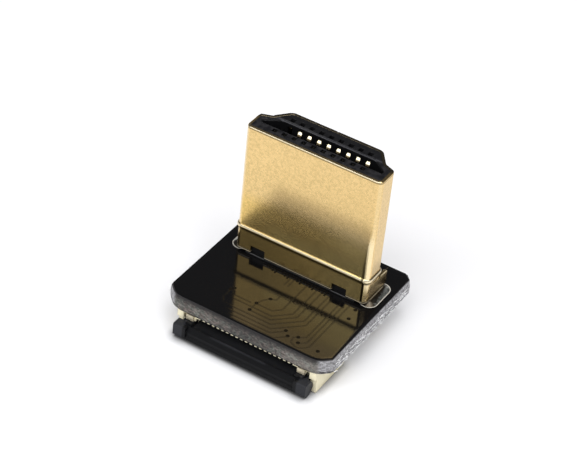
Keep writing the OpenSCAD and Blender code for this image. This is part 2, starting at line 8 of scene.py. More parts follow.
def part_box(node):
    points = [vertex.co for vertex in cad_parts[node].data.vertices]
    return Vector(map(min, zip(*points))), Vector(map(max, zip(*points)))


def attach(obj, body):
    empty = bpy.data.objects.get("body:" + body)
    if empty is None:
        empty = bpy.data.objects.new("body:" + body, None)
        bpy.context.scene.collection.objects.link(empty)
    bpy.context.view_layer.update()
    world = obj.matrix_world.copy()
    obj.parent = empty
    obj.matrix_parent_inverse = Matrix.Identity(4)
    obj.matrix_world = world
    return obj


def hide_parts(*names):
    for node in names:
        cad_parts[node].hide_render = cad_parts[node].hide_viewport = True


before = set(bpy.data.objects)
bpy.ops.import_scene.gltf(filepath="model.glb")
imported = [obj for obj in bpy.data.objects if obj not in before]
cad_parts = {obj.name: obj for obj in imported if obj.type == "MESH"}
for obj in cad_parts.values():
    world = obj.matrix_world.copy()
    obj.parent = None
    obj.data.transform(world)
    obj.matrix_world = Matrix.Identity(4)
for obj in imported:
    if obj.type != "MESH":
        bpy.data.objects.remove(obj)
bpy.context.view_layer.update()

# The board: black glass-fibre laminate, routed at the front and back and cut half through along the sides.
# It carries everything else. The cut edges show grey resin with pale glass cloth in it.


class Reading:
    """One socket of a node tree. Arithmetic on it adds Math nodes to the same tree."""

    def __init__(self, tree, socket):
        self.tree, self.socket = tree, socket

    def by(self, operation, *terms):
        return self.tree.add("ShaderNodeMath", {"operation": operation}, dict(enumerate(terms)))

    def __add__(self, other):
        return self.by("ADD", self, other)

    def __sub__(self, other):
        return self.by("SUBTRACT", self, other)

    def __rsub__(self, other):
        return self.by("SUBTRACT", other, self)

    def __mul__(self, other):
        return self.by("MULTIPLY", self, other)

    def __truediv__(self, other):
        return self.by("DIVIDE", self, other)

    def __pow__(self, other):
        return self.by("POWER", self, other)

    def __abs__(self):
        return self.by("ABSOLUTE", self)

    __radd__, __rmul__ = __add__, __mul__

    def least(self, other):
        return self.by("MINIMUM", self, other)

    def most(self, other):
        return self.by("MAXIMUM", self, other)

    def near(self, other, blend):
        """The smaller of two, with a rounded change between them."""
        return self.by("SMOOTH_MIN", self, other, blend)

    def clipped(self):
        return self.most(0).least(1)

    def fade(self, low, high):
        """0 below low, 1 above high, smooth between; high may be the smaller one."""
        ends = {"Value": self, "From Min": low, "From Max": high}
        return self.tree.add("ShaderNodeMapRange", {"interpolation_type": "SMOOTHSTEP"}, ends)


class Tree:
    """A node tree that grows by one method: a type, its settings, and what goes into its sockets."""

    def __init__(self, tree):
        self.tree = tree

    def add(self, kind, settings=None, inputs=None, output=0):
        node = self.tree.nodes.new(kind)
        for key, value in (settings or {}).items():
            if key == "stops":
                ramp = node.color_ramp.elements
                while len(ramp) < len(value):
                    ramp.new(0.5)
                for element, (position, colour) in zip(ramp, value):
                    element.position, element.color = position, (*colour, 1)
            else:
                setattr(node, key, value)
        for key, value in (inputs or {}).items():
            if isinstance(value, Reading):
                self.tree.links.new(value.socket, node.inputs[key])
            elif isinstance(value, tuple) and node.inputs[key].type == "RGBA":
                node.inputs[key].default_value = (*value, 1)
            else:
                node.inputs[key].default_value = value
        return Reading(self, node.outputs[output]) if node.outputs else node

    def tint(self, share, first, second, blend="MIX"):
        """The first colour, with the second over it by a share."""
        settings = {"data_type": "RGBA", "blend_type": blend}
        return self.add("ShaderNodeMix", settings, {0: share, 6: first, 7: second}, 2)


class Finish(Tree):
    """A surface finish. Its patterns are laid out in millimetres of the object's own frame."""

    def __init__(self, name):
        self.material = bpy.data.materials.new(name)
        self.material.use_nodes = True
        super().__init__(self.material.node_tree)
        self.tree.nodes.clear()
        place = self.add("ShaderNodeTexCoord", {}, {}, "Object")
        self.mm = self.scaled(place, 1000, 1000, 1000)
        self.x, self.y, self.z = (self.add("ShaderNodeSeparateXYZ", {}, {0: self.mm}, i) for i in range(3))

    def scaled(self, vector, x, y, z):
        return self.add("ShaderNodeVectorMath", {"operation": "MULTIPLY"}, {0: vector, 1: (x, y, z)})

    def grain(self, per_mm, detail, rough, stretch=(1, 1, 1)):
        vector = self.scaled(self.mm, *stretch)
        inputs = {"Vector": vector, "Scale": per_mm, "Detail": detail, "Roughness": rough}
        return self.add("ShaderNodeTexNoise", {}, inputs)

    def rounded(self, radius_mm):
        """The surface's normal with its hard edges eased over a radius."""
        return self.add("ShaderNodeBevel", {"samples": 6}, {"Radius": radius_mm / 1000})

    def relief(self, height_mm, normal=None):
        inputs = {"Strength": 1.0, "Distance": 0.001, "Height": height_mm}
        if normal:
            inputs["Normal"] = normal
        return self.add("ShaderNodeBump", {}, inputs)

    def surface(self, **sockets):
        named = {key.replace("_", " "): value for key, value in sockets.items()}
        skin = self.add("ShaderNodeBsdfPrincipled", {}, named)
        self.add("ShaderNodeOutputMaterial", {}, {"Surface": skin})
        return self.material


def coat_node(node, material):
    """Gives a CAD node its finish through its material slot."""
    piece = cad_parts[node]
    if not piece.material_slots:
        piece.data.materials.append(material)
    for each in piece.material_slots:
        each.material = material


def settle(piece, body, slot, *nodes):
    """Fixes a finished piece to its body and hides the CAD nodes that it stands for."""
    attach(piece, body)
    if nodes:
        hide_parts(*nodes)


def eased(name, node, width_mm, material, steps, angle, first=None):
    """A merged copy of a CAD node with its hard edges rounded by a real bevel, after a first step of its own.

    No corner of the bevel is left standing higher than the node.
    """
    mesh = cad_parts[node].data.copy()
    mesh.name = name
    shape = bmesh.new()
    shape.from_mesh(mesh)
    bmesh.ops.remove_doubles(shape, verts=shape.verts, dist=2e-6)
    bmesh.ops.dissolve_limit(shape, angle_limit=math.radians(0.8), verts=shape.verts, edges=shape.edges)
    if first:
        first(shape)
    shape.to_mesh(mesh)
    shape.free()
    piece = bpy.data.objects.new(name, mesh)
    bpy.context.scene.collection.objects.link(piece)
    mesh.materials.clear()
    mesh.materials.append(material)
    bevel = piece.modifiers.new("eased", "BEVEL")
    bevel.width, bevel.segments = width_mm / 1000, steps
    bevel.limit_method, bevel.angle_limit, bevel.use_clamp_overlap = "ANGLE", math.radians(angle), False
    kept(piece)
    highest = max(vert.co.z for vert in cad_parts[node].data.vertices)
    for vert in piece.data.vertices:
        vert.co.z = min(vert.co.z, highest)
    smooth_by_angle(piece.data, 40)
    weigh = piece.modifiers.new("flat_faces_stay_flat", "WEIGHTED_NORMAL")
    weigh.keep_sharp = True
    return kept(piece)


def kept(piece):
    """Keeps the result of a piece's modifiers as its plain mesh."""
    bpy.context.view_layer.update()
    made = bpy.data.meshes.new_from_object(piece.evaluated_get(bpy.context.evaluated_depsgraph_get()))
    piece.modifiers.clear()
    piece.data = made
    made.name = piece.name
    return piece


def smooth_by_angle(mesh, degrees):
    shape = bmesh.new()
    shape.from_mesh(mesh)
    for face in shape.faces:
        face.smooth = True
    for edge in shape.edges:
        edge.smooth = len(edge.link_faces) == 2 and edge.calc_face_angle(math.pi) < math.radians(degrees)
    shape.to_mesh(mesh)
    shape.free()


core_low, core_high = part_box("board_core")
plug_low, plug_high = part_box("plug_shell")
plug_x = (plug_low.x + plug_high.x) * 500
web, web_lift = 0.2, 0.2
front, back = core_low.y * 1000, core_high.y * 1000
side = core_high.x * 1000 - web
top, bottom = core_high.z * 1000, core_low.z * 1000

laminate = Finish("laminate_edge")
ahead, behind = laminate.y - front, back - laminate.y
routed = ahead.fade(0.3, 0.06).most(behind.fade(0.3, 0.06))
cloth = laminate.grain(3.4, 4, 0.65, (1, 1, 1.8))
fleck = laminate.grain(9, 3, 0.65, (0.8, 0.8, 1.3))
hue = laminate.grain(2.2, 3, 0.6)
rise = (laminate.z - bottom) / (top - bottom)
# The milled edge is made darker towards its top and in its middle under the plug, and a little lighter towards
# the right.
darker_upward = rise.fade(1.02, 0.42)
pale = (cloth.fade(0.4, 0.66) * 0.55 + fleck.fade(0.46, 0.74) * 0.55).least(1)
dark_resin = laminate.tint(hue.fade(0.35, 0.65), (0.05, 0.042, 0.038), (0.045, 0.046, 0.042))
light_glass = laminate.tint(hue.fade(0.42, 0.6), (0.33, 0.28, 0.252), (0.28, 0.292, 0.258))
milled = laminate.tint(pale, dark_resin, light_glass)
milled = laminate.tint(laminate.x.fade(3, 6) * 0.14, milled, (0.5, 0.47, 0.42))
darker_middle = abs(laminate.x - plug_x).fade(4.2, 0.6) * 0.46
milled = laminate.tint(darker_upward * (1 - darker_middle), (0.012, 0.011, 0.0115), milled)
torn = laminate.tint(pale, (0.16, 0.155, 0.16), (0.58, 0.58, 0.6))
web_low = bottom + web_lift
# Painted shade: a dark broken band just under the snapped web.
painted_shade_under_web = laminate.z.fade(web_low + 0.06, web_low + 0.01) * laminate.z.fade(web_low - 0.2, web_low - 0.1)
torn = laminate.tint(painted_shade_under_web * laminate.grain(4, 3, 0.7).fade(0.42, 0.5), torn, (0.02, 0.018, 0.02))
skin = ((laminate.z - bottom).least(top - laminate.z)).fade(0.0, 0.09)
cut = laminate.tint(skin, (0.03, 0.028, 0.03), laminate.tint(routed, torn, milled))
edge_relief = cloth * (0.05 - 0.035 * routed) + fleck * 0.012
laminate_edge = laminate.surface(
    Base_Color=cut,
    Roughness=0.5 + 0.25 * fleck,
    Specular_IOR_Level=0.3,
    Normal=laminate.relief(edge_relief),
)
core = eased("board_laminate", "board_core", 0.05, laminate_edge, 2, 20)
settle(core, "adapter", "board_edge", "board_core")

# Each side of the board was snapped off its panel along the V cut. White glass fibres stand out of the break:
# fine splinters strewn along three lines on each side, lying nearly along the board.


class Growth(Tree):
    """A Geometry Nodes tree with named inputs, whose result is kept as a plain mesh."""

    def __init__(self, name, **sizes):
        tree = bpy.data.node_groups.new(name, "GeometryNodeTree")
        super().__init__(tree)
        sockets = tree.interface
        sockets.new_socket("Geometry", in_out="INPUT", socket_type="NodeSocketGeometry")
        self.values = {}
        for label, value in sizes.items():
            kind = "NodeSocketInt" if isinstance(value, int) else "NodeSocketFloat"
            self.values[sockets.new_socket(label, in_out="INPUT", socket_type=kind).identifier] = value
        sockets.new_socket("Geometry", in_out="OUTPUT", socket_type="NodeSocketGeometry")
        entry = tree.nodes.new("NodeGroupInput")
        self.seed_shape = Reading(self, entry.outputs[0])
        self.size = {label: Reading(self, entry.outputs[label]) for label in sizes}

    def grow(self, name, points, edges, result, material):
        result = self.add("GeometryNodeRealizeInstances", {}, {"Geometry": result})
        result = self.add("GeometryNodeSetMaterial", {}, {"Geometry": result, "Material": material})
        self.add("NodeGroupOutput", {}, {"Geometry": result})
        start = bpy.data.meshes.new(name)
        start.from_pydata([[c / 1000 for c in point] for point in points], edges, [])
        piece = bpy.data.objects.new(name, start)
        bpy.context.scene.collection.objects.link(piece)
        step = piece.modifiers.new("growth", "NODES")
        step.node_group = self.tree
        for key, value in self.values.items():
            step[key] = value
        return kept(piece)


def chained(*runs):
    """Points and edges of several open lines in one mesh."""
    points, edges = [], []
    for run in runs:
        edges += [(len(points) + i, len(points) + i + 1) for i in range(len(run) - 1)]
        points += run
    return points, edges


glass = Finish("snapped_glass")
strand = glass.grain(9, 2, 0.5, (1, 0.3, 1))
snapped_glass = glass.surface(
    Base_Color=glass.tint(strand.fade(0.35, 0.6), (0.5, 0.5, 0.52), (0.93, 0.93, 0.93)),
    Roughness=0.45 + 0.2 * strand,
)
tear = Growth("tear", Count=90, Length=0.00055, Thick=0.000034, Spread=0.00009, Seed=7)
path = tear.add("GeometryNodeMeshToCurve", {}, {"Mesh": tear.seed_shape})
path = tear.add("GeometryNodeResampleCurve", {}, {"Curve": path, "Count": tear.size["Count"]})
spots = tear.add("GeometryNodeCurveToPoints", {"mode": "EVALUATED"}, {"Curve": path})
sideways, along, upright = tear.size["Spread"] * 0.6, tear.size["Length"], tear.size["Spread"]
spread = tear.add("ShaderNodeCombineXYZ", {}, {0: sideways, 1: along, 2: upright})
back_spread = tear.add("ShaderNodeVectorMath", {"operation": "SCALE"}, {0: spread, "Scale": -1.0})
shift = tear.add(
    "FunctionNodeRandomValue",
    {"data_type": "FLOAT_VECTOR"},
    {0: back_spread, 1: spread, "Seed": tear.size["Seed"]},
)
spots = tear.add("GeometryNodeSetPosition", {}, {"Geometry": spots, "Offset": shift})
splinter = tear.add(
    "GeometryNodeMeshCone",
    {"fill_type": "TRIANGLE_FAN"},
    {
        "Vertices": 5,
        "Radius Top": tear.size["Thick"] * 0.4,
        "Radius Bottom": tear.size["Thick"],
        "Depth": tear.size["Length"],
    },
)
lean = tear.add(
    "FunctionNodeRandomValue",
    {"data_type": "FLOAT_VECTOR"},
    {0: (-1.85, -0.35, -0.3), 1: (-1.3, 0.35, 0.3), "Seed": tear.size["Seed"] + 1},
)
girth = tear.add(
    "FunctionNodeRandomValue",
    {"data_type": "FLOAT_VECTOR"},
    {0: (0.5, 0.5, 0.3), 1: (1.5, 1.5, 1.5), "Seed": tear.size["Seed"] + 2},
)
planted = {"Points": spots, "Instance": splinter, "Rotation": lean, "Scale": girth}
splinters = tear.add("GeometryNodeInstanceOnPoints", {}, planted)
middle = (top + bottom) / 2
break_front, break_back, break_levels = front + 1.4, back - 1.1, (-0.56, -0.2, 0.23)
lines = [
    [(reach * (side + web), y, middle + level) for y in (break_front, break_back)]
    for reach in (-1, 1)
    for level in break_levels
]
fibres = tear.grow("snapped_fibres", *chained(*lines), splinters, snapped_glass)
settle(fibres, "adapter", "board_edge")

# The lacquer: a thin black solder mask over each copper face, glossy and almost flat.
# It rolls off along the board's outline, and the copper runs underneath stand up through it.
lacquer = Finish("black_lacquer")
across = side - abs(lacquer.x)
ahead, behind = lacquer.y - front, back - lacquer.y
front_cut, back_cut, slant = 1.15, 0.7, math.sqrt(0.5)
cuts = ((across + ahead - front_cut) * slant).least((across + behind - back_cut) * slant)
inside = ahead.near(cuts, 0.7).least(across).least(behind)
roll_wide, roll_deep = 0.42, 0.055
roll = (1 - (inside / roll_wide)).clipped() ** 2 * -roll_deep
peel = lacquer.grain(0.7, 2, 0.5) * 0.003 + lacquer.grain(5, 3, 0.55) * 0.0005
dust = lacquer.grain(16, 2, 0.5).fade(0.72, 0.8)
black_lacquer = lacquer.surface(
    Base_Color=lacquer.tint(dust * 0.2, (0.0042, 0.004, 0.0042), (0.09, 0.09, 0.1)),
    Roughness=0.07 + 0.05 * lacquer.grain(1.2, 4, 0.6) + dust * 0.2,
    IOR=1.46,
    Normal=lacquer.relief(roll + peel),
)
for node in ("mask_top", "mask_bottom"):
    coat_node(node, black_lacquer)

# Copper under the lacquer: runs and pad ends stand up through it as low ridges, vias as dimpled rings.
# Their places are in millimetres from the middle of the plug's wide face, a little behind its bead.
bead_out = 0.16
plug_y = plug_low.y * 1000 + bead_out
skin_top, skin_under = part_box("mask_top")[1].z * 1000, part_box("mask_bottom")[0].z * 1000
runs = [
    [(-3.3, -5.6), (-1.55, -5.6)],
    [(-1.1, -5.42), (0.55, -5.42), (1.22, -4.75), (1.22, -0.4)],
    [(-3.1, -6.05), (0.9, -6.05), (2.28, -4.67), (2.28, -0.4)],
    [(-0.95, -6.55), (1.1, -6.55), (2.82, -4.83), (2.82, -0.4)],
    [(-3.1, -7.05), (1.4, -7.05), (3.58, -4.87), (3.58, -0.4)],
    [(-3.0, -7.55), (1.75, -7.55), (4.02, -5.28), (4.02, -0.4)],
    [(-2.3, -8.05), (1.95, -8.05), (2.95, -7.05)],
    [(-2.0, -8.42), (2.6, -8.42), (3.45, -7.57)],
    [(4.9, -0.3), (4.9, -6.6), (4.4, -7.0)],
    [(5.3, -0.3), (5.3, -7.2), (4.85, -7.6)],
    [(5.75, -0.3), (5.75, -7.6), (5.2, -8.2), (4.7, -8.25), (4.1, -7.95), (3.95, -7.3), (4.2, -7.05)],
    [(-0.5, -0.4), (-0.5, -1.75)],
    [(-0.12, -0.4), (-0.12, -1.7)],
    [(-4.05, -5.2), (-4.05, -6.3), (-3.7, -7.0), (-3.2, -7.05)],
    [(-3.85, -4.85), (-3.5, -5.2), (-3.3, -5.6)],
    [(-0.45, -4.15), (-0.9, -4.75), (-1.12, -5.4), (-1.12, -6.45)],
    [(-0.42, -4.13), (0.1, -3.96), (0.1, -3.2)],
]
ends = [[(-3.1 + 0.33 * i, -0.05), (-3.1 + 0.33 * i, -0.42 - 0.13 * (i * 5 % 4))] for i in range(20)]
ends += [
    [(1.05 + 0.37 * i, -2.66 - 0.06 * (i % 3)), (1.05 + 0.37 * i, -3.02 - 0.09 * (i * 3 % 4))]
    for i in range(12)
]
vias = [(2.96, -6.94), (3.46, -7.45), (4.3, -7.02), (4.67, -7.67), (6.64, -7.57), (6.58, -2.15), (6.45, -0.75)]
vias += [(-1.12, -5.37), (-1.13, -6.5), (-0.42, -4.13), (-4.03, -5.15), (-3.82, -4.82)]
vias += [(-6.1, 3.4), (-3.2, 6.2), (5.2, 5.9)]
cover = Finish("covered_copper")
patch = cover.grain(9, 2, 0.5).fade(0.45, 0.7)
covered_copper = cover.surface(
    Base_Color=cover.tint(patch, (0.006, 0.0055, 0.005), (0.009, 0.008, 0.0075)),
    Roughness=0.1 + 0.06 * cover.grain(1.2, 4, 0.6),
    IOR=1.32,
)
hole = Finish("covered_via")
covered_via = hole.surface(
    Base_Color=hole.tint(hole.grain(6, 2, 0.5), (0.003, 0.0025, 0.002), (0.008, 0.006, 0.004)),
    Roughness=0.5,
    IOR=1.2,
)


def raised_lines(name, lines, half_width, finish):
    """Low rounded ridges of one width along a set of bent lines, grown as one piece."""
    track = Growth(name, Half=half_width, Flat=0.04, Bend=0.0002)
    line = track.add("GeometryNodeMeshToCurve", {}, {"Mesh": track.seed_shape})
    line = track.add(
        "GeometryNodeFilletCurve",
        {"mode": "POLY"},
        {"Curve": line, "Count": 3, "Radius": track.size["Bend"], "Limit Radius": True},
    )
    line = track.add("GeometryNodeSetCurveNormal", {"mode": "Z_UP"}, {"Curve": line})
    circle = {"Resolution": 14, "Radius": track.size["Half"]}
    ridge = track.add("GeometryNodeCurvePrimitiveCircle", {"mode": "RADIUS"}, circle)
    squash = track.add("ShaderNodeCombineXYZ", {}, {0: 1.0, 1: track.size["Flat"], 2: 1.0})
    ridge = track.add("GeometryNodeTransform", {}, {"Geometry": ridge, "Scale": squash})
    line = track.add("GeometryNodeCurveToMesh", {}, {"Curve": line, "Profile Curve": ridge, "Fill Caps": True})
    settle(track.grow(name, *chained(*lines), line, finish), "adapter", "board_lacquer")


laid = [[(plug_x + x, plug_y + y, skin_top) for x, y in run] for run in runs]
under = [[(plug_x - x, plug_y + y, skin_under) for x, y in run] for run in runs if run[0][1] > -2]
stubs = [[(plug_x + x, plug_y + y, skin_top) for x, y in end] for end in ends]
raised_lines("copper_runs", laid + under, 0.00009, covered_copper)
raised_lines("pad_ends", stubs, 0.0001, covered_via)
dimple = Growth("dimple", Outer=0.00019, Inner=0.00013, Tall=0.000012)
spots = dimple.add("GeometryNodeMeshToPoints", {}, {"Mesh": dimple.seed_shape})
cones = []
for base in (dimple.size["Outer"], 0.0):
    cone = {"Radius Top": dimple.size["Inner"], "Radius Bottom": base, "Depth": dimple.size["Tall"]}
    cones.append(dimple.add("GeometryNodeMeshCone", {"fill_type": "NONE"}, {"Vertices": 24, **cone}))
collar, bowl = cones
collars = dimple.add("GeometryNodeInstanceOnPoints", {}, {"Points": spots, "Instance": collar})
bowl = dimple.add("GeometryNodeFlipFaces", {}, {"Mesh": bowl})
bowls = dimple.add("GeometryNodeInstanceOnPoints", {}, {"Points": spots, "Instance": bowl})
rings = dimple.add("GeometryNodeJoinGeometry", {}, {"Geometry": collars})
dimple.tree.links.new(bowls.socket, rings.socket.node.inputs[0])
marks = [(plug_x + x, plug_y + y, skin_top) for x, y in vias]
settle(dimple.grow("via_rings", marks, [], rings, covered_via), "adapter", "board_lacquer")

# The plug's shell: brass sheet of 0.3 mm, folded into the stepped outline, with a rolled bead round it.
# The gold plating is satin, with a fine rolled grain; its two legs go through the board. Its tones carry
# painted highlights and painted shade along the bead, the rim, the folds at the corners, the ears over the
# legs, the foot and the faces.
gold = Finish("satin_gold_plate")
shell_half, leg_x = 6.95, 6.8
bead_z, leg_top, edge_z = skin_top + 2.87, skin_top + 2.0, skin_top + 0.32
speck = gold.grain(4.2, 3, 0.7)
fine = gold.grain(15, 2, 0.5)
broad = gold.grain(0.35, 3, 0.5)
tone = gold.tint(speck.fade(0.36, 0.62), (0.63, 0.455, 0.19), (0.83, 0.595, 0.265))
tone = gold.tint(fine.fade(0.4, 0.66) * 0.5, tone, (0.9, 0.66, 0.33))
tone = gold.tint(broad.fade(0.3, 0.75) * 0.3, tone, (0.8, 0.57, 0.25))
level = gold.z - bead_z
depth = plug_high.z * 1000 - gold.z
rear = gold.y - plug_y
aside = abs(gold.x - plug_x)
front_face = rear.fade(0.1, 0.05)
lower = level.fade(0.03, -0.37)
# Painted highlight along the top of the bead and the front of the mouth's rim.
painted_bead_and_rim_highlight = level.fade(0.0, 0.05) * level.fade(0.25, 0.17)
painted_bead_and_rim_highlight = painted_bead_and_rim_highlight.most(depth.fade(0.12, 0.09) * depth.fade(0.0, 0.03) * rear.fade(0.2, 0.1))
# Painted shade under the bead and just below the rim.
painted_crease_shade = level.fade(-0.53, -0.26) * level.fade(-0.03, -0.09)
painted_crease_shade = painted_crease_shade.most(depth.fade(0.11, 0.14) * depth.fade(0.24, 0.19) * 0.8)
corner = gold.x - (plug_x + shell_half - 0.5)
bend = gold.z.fade(9.5, 7.5) * 0.03
# Painted dark reflection: a thin line along the fold of the right front corner.
painted_corner_line = abs(corner + 0.08 - bend - lower * 0.08).fade(0.15, 0.08) * rear.fade(0.08, 0.02)
painted_corner_line = painted_corner_line * (gold.z.fade(11.5, 7.5) * 0.75 + lower * 0.25)
# Painted highlight down the right front corner, where the plating is also made less metallic.
painted_corner_highlight = (corner - bend - lower * 0.07 - gold.z.fade(10.5, 12.5) * 0.2).fade(-0.01, 0.06)
painted_corner_highlight = painted_corner_highlight * rear.fade(0.36, 0.26) * (0.25 + 0.75 * gold.z.fade(12.5, 10.5))
painted_corner_highlight = painted_corner_highlight * (1 - lower * gold.z.fade(6.4, 5.2) * 0.7)
# Painted shade on the sides of the shell, stronger below the bead.
upper_flank = (1 - lower) * gold.z.fade(9.3, 7.7) * 0.25
lower_flank = lower * gold.z.fade(6.5, 5.4) * (0.25 + 0.3 * speck)
painted_flank_shade = rear.fade(0.35, 0.7) * (aside - 6.4).fade(0, 0.4) * (upper_flank + lower_flank + 0.05)
# Painted highlight along the top of each ear over a leg.
painted_ear_highlight = abs(gold.z - leg_top).fade(0.14, 0.07) * rear.fade(2.3, 2.5) * (aside - leg_x).fade(0, 0.05)
# Painted shade over the lower left of the front face, and painted light over its upper right.
painted_lower_shade = lower * gold.x.fade(2, -5) * front_face * 0.5
lift = gold.x.fade(0, 6) * front_face * gold.z.fade(12.5, 9.5) * 0.8
tone = gold.tint(lift, gold.tint(painted_lower_shade, tone, (0.3, 0.22, 0.1)), (0.96, 0.76, 0.4))
# Painted shadow across the upper left of the front face with painted light below it; the top of the front face
# is made warmer.
upper_face = gold.x.fade(-4.2, -2.2) * front_face * (1 - lower)
shadow = upper_face * gold.z.fade(13.8, 12) * gold.z.fade(9, 10.5) * 0.24
shadow = shadow.most(upper_face * gold.z.fade(10.5, 8.5) * fine.fade(0.55, 0.35) * 0.25)
tone = gold.tint(shadow, tone, (0.0, 0.0, 0.0))
tone = gold.tint(upper_face * gold.z.fade(8.8, 7.6) * 0.45, tone, (1.0, 0.8, 0.4))
tone = gold.tint(gold.z.fade(11.5, 9.5) * front_face, tone, (1.0, 0.97, 0.76), "MULTIPLY")
tone = gold.tint(painted_corner_highlight.most(painted_ear_highlight) * 0.8, tone, (1.0, 0.84, 0.52))
# Painted highlight down the left edge of the shell above the bead.
painted_left_highlight = (gold.x - (plug_x - shell_half)).fade(0.5, 0.15) * rear.fade(0.5, 0.3) * (1 - lower)
tone = gold.tint(painted_left_highlight * 0.4, tone, (1.0, 0.93, 0.72))
tone = gold.tint(painted_bead_and_rim_highlight * 0.85, tone, (0.77, 0.69, 0.51))
tone = gold.tint((painted_crease_shade * 0.95).most(painted_corner_line), tone, (0.042, 0.03, 0.011))
tone = gold.tint(painted_flank_shade, tone, (0.1, 0.06, 0.03))
# Painted shade on the back of the rim.
tone = gold.tint(rear.fade(1.6, 2.2) * depth.fade(0.07, 0.04) * 0.85, tone, (0.16, 0.145, 0.11))
# Painted shade along the shell's foot with a painted highlight on its lowest edge; the plating is made
# non-metallic there.
foot = gold.z - edge_z
painted_foot_band = foot.fade(-0.1, -0.05) * foot.fade(0.25, 0.2)
line = foot.fade(0.13, 0.09) * (0.6 + 0.4 * broad.fade(0.35, 0.6))
tone = gold.tint(painted_foot_band, tone, gold.tint(line, (0.055, 0.045, 0.025), (0.52, 0.44, 0.3)))
satin_gold = gold.surface(
    Base_Color=tone,
    Metallic=(1 - painted_corner_highlight * (0.35 + 0.5 * lower)) * (1 - painted_foot_band),
    Roughness=0.19 + 0.08 * speck,
    Normal=gold.relief(speck * 0.002 + fine * 0.0008),
)


heart, even = (plug_low + plug_high) / 2, 0.00002


def lie_of(edge):
    """The middle of an edge, and the way that its faces look."""
    middle = (edge.verts[0].co + edge.verts[1].co) / 2
    return middle, sum((face.normal for face in edge.link_faces), Vector())


def round_over(shape, edges, width, steps, clamp):
    settings = {"profile": 0.5, "affect": "EDGES", "loop_slide": True, "clamp_overlap": clamp}
    bmesh.ops.bevel(shape, geom=edges, offset=width, segments=steps, **settings)


def rounded_mouth(shape):
    """Rolls the outer edge of the plug's mouth, and the free top edge of each leg, over a wider radius."""
    leg_low, leg_high, leg_out = 0.0055, 0.0062, 0.0069
    rim = []
    for edge in shape.edges:
        middle, out = lie_of(edge)
        low, high = sorted(vert.co.z for vert in edge.verts)
        up, out.z = out.z, 0
        outward = len(edge.link_faces) == 2 and out.length > 0.3 and out.dot(middle - heart) > 0
        mouth = low > plug_high.z - even and out.y < 0.6 * out.length
        leg = high - low < even and leg_low < low < leg_high and abs(middle.x - heart.x) > leg_out and up > 0.3
        if outward and (mouth or leg):
            rim.append(edge)
    round_over(shape, rim, 0.00013, 4, False)


shell = eased("shell_sheet", "plug_shell", 0.04, satin_gold, 3, 32, rounded_mouth)
settle(shell, "adapter", "gold_shell", "plug_shell")

# The insulator and its spacer: one black moulding in the mouth and one block under it, both glass-filled.
# The moulding holds the contacts; the block guides their tails to the board. Its ledge carries a painted
# highlight, stronger in the shell's two notches; the mouth's face is paler, the cavity's back edge carries a
# painted highlight, and painted shade darkens the foot.
moulding = Finish("black_moulding")
haze = moulding.grain(1.1, 4, 0.6)
pit = moulding.grain(14, 3, 0.6)
foot = moulding.z - skin_top
notches_x, notch_out, notch_half, cavity_back = plug_x - 0.2, 4.35, 0.75, 4.335
notch = (abs(abs(moulding.x - notches_x) - notch_out) - notch_half).fade(0.04, -0.04)
# Painted highlight along the ledge under the shell, stronger in the notches.
painted_ledge_highlight = foot.fade(0.16, 0.19) * foot.fade(0.24, 0.21) * (moulding.y - plug_y).fade(0.07, 0.04) * (0.3 + notch)
mottled_black_with_painted_light = moulding.tint(haze, (0.0045, 0.0045, 0.005), (0.0085, 0.0085, 0.0095))
deep = plug_high.z * 1000 - moulding.z
# The mouth's face is made paler, less so behind the cavity.
patchy = moulding.grain(1.9, 3, 0.6).fade(0.38, 0.62)
paler_face_black = moulding.tint(patchy, (0.008, 0.008, 0.0095), (0.023, 0.0222, 0.024))
beyond = moulding.y - cavity_back
mouth_face = deep.fade(0.12, 0.04) * (1 - 0.75 * beyond.fade(0.065, 0.265))
mottled_black_with_painted_light = moulding.tint(mouth_face, mottled_black_with_painted_light, paler_face_black)
# Painted highlight along the cavity's back edge at the mouth.
painted_cavity_edge_highlight = deep.fade(0.22, 0.1) * abs(beyond).fade(0.12, 0.05) * abs(moulding.x - plug_x).fade(5.9, 4.6)
mottled_black_with_painted_light = moulding.tint(painted_cavity_edge_highlight, mottled_black_with_painted_light, (0.066, 0.066, 0.073))
# Painted shade: the moulding's foot next to the board is made near black.
mottled_black_with_painted_light = moulding.tint(foot.fade(0.3, 0.25), mottled_black_with_painted_light, (0.002, 0.002, 0.002))
black_moulding = moulding.surface(
    Base_Color=moulding.tint(painted_ledge_highlight, mottled_black_with_painted_light, (0.14, 0.14, 0.145)),
    Roughness=0.24 + 0.12 * haze + 0.06 * pit,
    IOR=1.36,
    Normal=moulding.relief(pit * 0.0015 + haze * 0.003, moulding.rounded(0.05)),
)


def cavity_edge(shape):
    """Breaks the cavity's edge at the mouth, which is wider than the moulding's other edges."""
    highest, groove_wide = max(vert.co.z for vert in shape.verts), 0.0011
    rim = []
    for edge in shape.edges:
        middle, out = lie_of(edge)
        out.z = 0
        at_mouth = min(vert.co.z for vert in edge.verts) > highest - even
        if at_mouth and edge.calc_length() > groove_wide and out.length > 0.3 and out.dot(middle - heart) < 0:
            rim.append(edge)
    round_over(shape, rim, 0.00007, 2, True)


insulator = eased("mouth_moulding", "plug_insulator", 0.015, black_moulding, 2, 40, cavity_edge)
settle(insulator, "adapter", "black_insulator", "plug_insulator")
spacer = eased("foot_block", "plug_spacer", 0.03, black_moulding, 2, 40)
settle(spacer, "adapter", "black_insulator", "plug_spacer")

